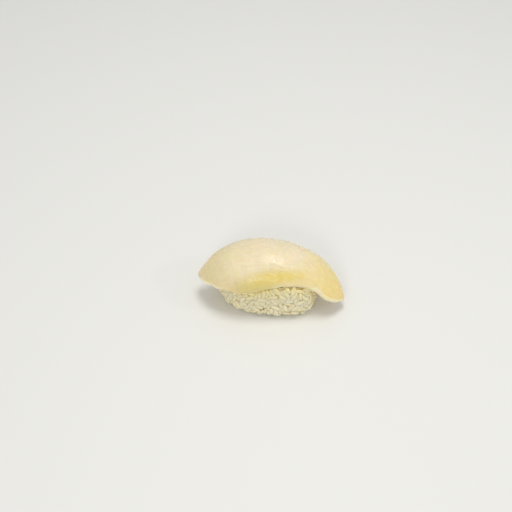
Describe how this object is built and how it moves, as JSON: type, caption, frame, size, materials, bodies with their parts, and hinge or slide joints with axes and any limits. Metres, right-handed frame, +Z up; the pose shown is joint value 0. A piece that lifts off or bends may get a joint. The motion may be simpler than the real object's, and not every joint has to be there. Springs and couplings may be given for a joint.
{
  "type": "escolar nigiri",
  "caption": "Nigiri sushi: a hand-pressed loaf of rice with a pale, waxy slice of escolar draped over it and drooping past both ends.",
  "frame": {"origin": "on the surface that the rice stands on, under the middle of the nigiri's outline seen from above", "axes": "+X along the slice, towards the end that droops lowest; +Z up; -Y is the side from which the rice shows best"},
  "size_m": [0.0716, 0.0332, 0.0311],
  "materials": {
    "fish": "moist, waxy, slightly translucent raw fish, creamy ivory",
    "rice": "moist cooked short-grain rice, warm white and slightly translucent"
  },
  "bodies": {
    "root": {"fish_slice": "fish", "rice": "rice"}
  },
  "joints": []
}
